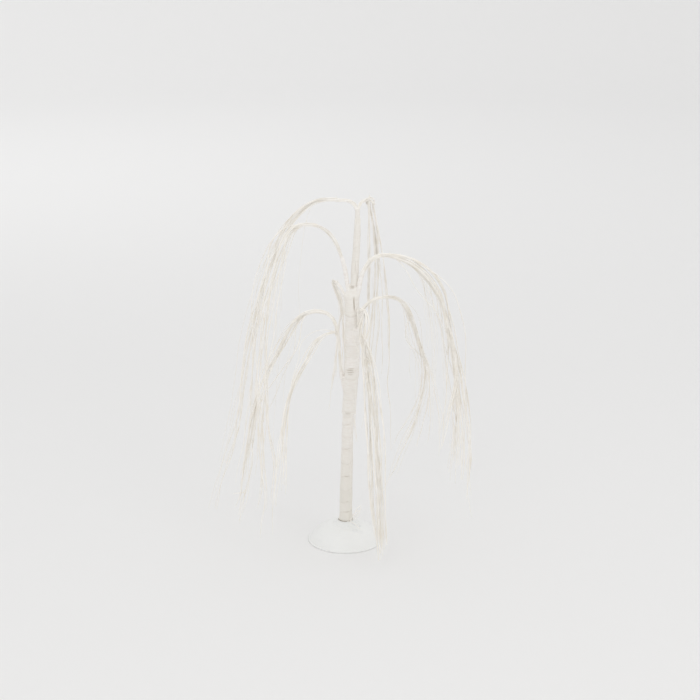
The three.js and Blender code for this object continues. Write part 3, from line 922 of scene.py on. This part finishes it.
def dropperThreads(layout, tuft, dice):
    kind, threads = hanging["dropper"], []
    for _ in range(tuft["droppers"]):
        leaves = layout["crest"] + dice.uniform(0.0, 0.7)
        shape = curveThrough(layout["limb"], np.linspace(leaves - kind["follow"], leaves, 8))
        start = (shape[:, :3] + shape[:, 3:6] * shape[:, 9:10] * dice.uniform(-0.8, 0.6)
                 + shape[:, 6:9] * shape[:, 10:11] * dice.uniform(-0.7, 0.7))
        heading = unit(start[-1] - start[-2])
        heading[2] = min(heading[2], 0)
        drop = dice.uniform(*kind["drop"]) * mm
        share = np.linspace(0, 1, kind["steps"])[1:, None] ** 1.4
        glide = heading * kind["glide"] * mm * (1 - (1 - share) ** 40)
        fall = np.array([0, 0, -drop]) * share
        along = share[:, 0] * drop / mm
        threads.append(hangingThread(dice, kind, start, along, share, glide, fall, tuft["aged"]))
    return threads


def stubThreads(layout, dice):  # short cut ends that stand off the bough at its crest
    kind, threads = hanging["stub"], []
    for _ in range(kind["count"]):
        place = layout["crest"] + dice.uniform(-kind["along"], kind["along"])
        shape = curveThrough(layout["limb"], np.array([place]))[0]
        side = shape[6:9] * (1 if shape[8] > 0 else -1)
        lean = shape[3:6] * dice.uniform(-kind["lean"], kind["lean"])
        share = np.linspace(0, 1, kind["steps"])[:, None]
        start = shape[:3] + side * shape[10] * kind["sunk"]
        points = start + (side + lean) * share * dice.uniform(*kind["length"]) * mm
        threads.append((points, np.linspace(*kind["radii"], len(points)) * mm, toneOf(dice)))
    return threads


def coreThread(layout):  # a plain core keeps light from passing through the bundle
    spots = np.linspace(0, layout["spread"], layout["spread"] * 4)
    shape = curveThrough(layout["limb"], spots)
    ends = 1 - softStep(spots, layout["crest"] + 0.5, layout["spread"] - 2.0)
    radii = np.minimum(shape[:, 9], shape[:, 10]) * strand["coreShare"] * np.maximum(ends, 0.05)
    return shape[:, :3], radii, 1


def makeTuft(name, tuft):  # the bough and its curtains, as two pieces of single strands
    words = name.title().split("_")
    pieceName = words[0].lower() + "".join(words[1:])
    dice = random.Random(tuft["seed"])
    layout = layoutOf(name)
    boughThreads, curtainThreads = lockThreads(layout, tuft, dice)
    curtainThreads += hangerThreads(layout, tuft, dice)
    curtainThreads += dropperThreads(layout, tuft, dice)
    boughThreads += stubThreads(layout, dice)
    boughThreads.append(coreThread(layout))
    limbPiece = curvePiece(pieceName + "Bough", boughThreads, fibres)
    stoodFor = [name + "_fall"] + ([name + "_rise"] if layout["hasRise"] else [])
    finishPiece(limbPiece, stoodFor)
    curtainPiece = curvePiece(pieceName + "Strands", curtainThreads, fibres)
    finishPiece(curtainPiece, layout["curtainNames"])
    return layout


# tape round the boughs: its width over the bundle's, its laps and creases, and where it begins
sleeve = {"over": 1.16, "lapPitch": 3.4, "lapRise": 0.13, "crease": 0.06,
          "creaseWaves": (5.1, 2.3), "perStation": 14, "from": 1.2, "seed": 7}


def sleeveThread(layout, tuft, dice):  # the tape goes on up the bough and ends with a lap
    end = 3 + (layout["crest"] - 3) * tuft["taped"]  # three stations lie below the bough's root
    spots = np.linspace(sleeve["from"], end, int((end - sleeve["from"]) * sleeve["perStation"]))
    shape = curveThrough(layout["limb"], spots)
    along = lengthAlong(shape[:, :3])
    turn = along / sleeve["lapPitch"] + dice.random()
    lapped = 1 - (turn - np.floor(turn)) ** 0.8
    radii = np.sqrt(shape[:, 9] * shape[:, 10]) * sleeve["over"]
    creases = sleeve["crease"] * waves(dice, along, sleeve["creaseWaves"])
    radii += (sleeve["lapRise"] * (lapped - 0.5) + creases) * mm
    radii *= 1 - 0.25 * softStep(spots, end - 0.25, end)
    return shape[:, :3], radii, 0


# loose scraps of fibre: wisps that loop up beside the foot, and a knot on a hanging strand
scrap = {
    "perSpan": 10, "across": 0.42, "knotAcross": 0.6,
    # each a run of places, in millimetres from the middle of the trunk's foot
    "wisps": (((2.0, -4.6, 0.6), (5.0, -5.4, 4.2), (7.6, -5.6, 9.6), (9.6, -5.4, 11.6),
               (9.9, -5.2, 9.0), (6.2, -5.4, 3.9), (3.2, -5.2, 0.2)),
              ((3.0, -5.0, 0.3), (5.6, -6.0, 6.2), (8.2, -6.4, 8.4), (9.4, -6.2, 6.6),
               (5.6, -6.2, 1.6)),
              ((1.0, -5.2, 0.2), (4.4, -7.0, 0.3), (8.0, -9.2, -1.7), (9.8, -11.6, -2.9))),
    # how far from the curtain's line the strand with the knot hangs, and the knot's own places
    "knotOff": (1.2, 2.9, -0.9),
    "knot": ((0.6, 0.0, 2.4), (0.9, -0.6, 0.8), (-0.5, -0.9, -0.3), (-0.7, 0.5, 0.5),
             (0.8, 0.6, 0.4), (0.2, -0.8, -0.8), (-1.4, -0.6, -0.4), (-4.2, -0.4, -0.9),
             (-7.6, 0.2, -1.4)),
}


def scrapThread(places, origin, across):
    places = np.array(places)
    spots = np.linspace(0, len(places) - 1, (len(places) - 1) * scrap["perSpan"])
    points = origin + curveThrough(places, spots) * mm
    radii = np.full(len(points), across * 0.5 * mm)
    radii[-scrap["perSpan"]:] *= np.linspace(1, 0.6, scrap["perSpan"])
    return points, radii, len(fibreShares)


def makeScraps(carrier):  # carrier: the line of the curtain that has the knot
    foot = np.array([trunkLean[0][0], trunkLean[0][1], trunkHeights[0]])
    threads = [scrapThread(places, foot, scrap["across"]) for places in scrap["wisps"]]
    knotAt = curveThrough(carrier, np.array([len(carrier) - 3.0]))[0][:3]
    knotAt = knotAt + np.array(scrap["knotOff"]) * mm
    threads.append(scrapThread(scrap["knot"], knotAt, scrap["knotAcross"]))
    finishPiece(curvePiece("looseFibres", threads, fibres), [])


makeTrunk()
sleeveDice = random.Random(sleeve["seed"])
sleeves, layouts = [], {}
for tuftName, tuftValues in tufts.items():
    tuftValues = {**usualTuft, **tuftValues}
    layouts[tuftName] = makeTuft(tuftName, tuftValues)
    if tuftValues["taped"]:
        sleeves.append(sleeveThread(layouts[tuftName], tuftValues, sleeveDice))
finishPiece(curvePiece("boughTape", sleeves, [crepeTape], 6), [], 60)
knotted = layouts["lower_left"]
makeScraps(knotted["fans"][knotted["main"]]["line"])
print("tufts made")
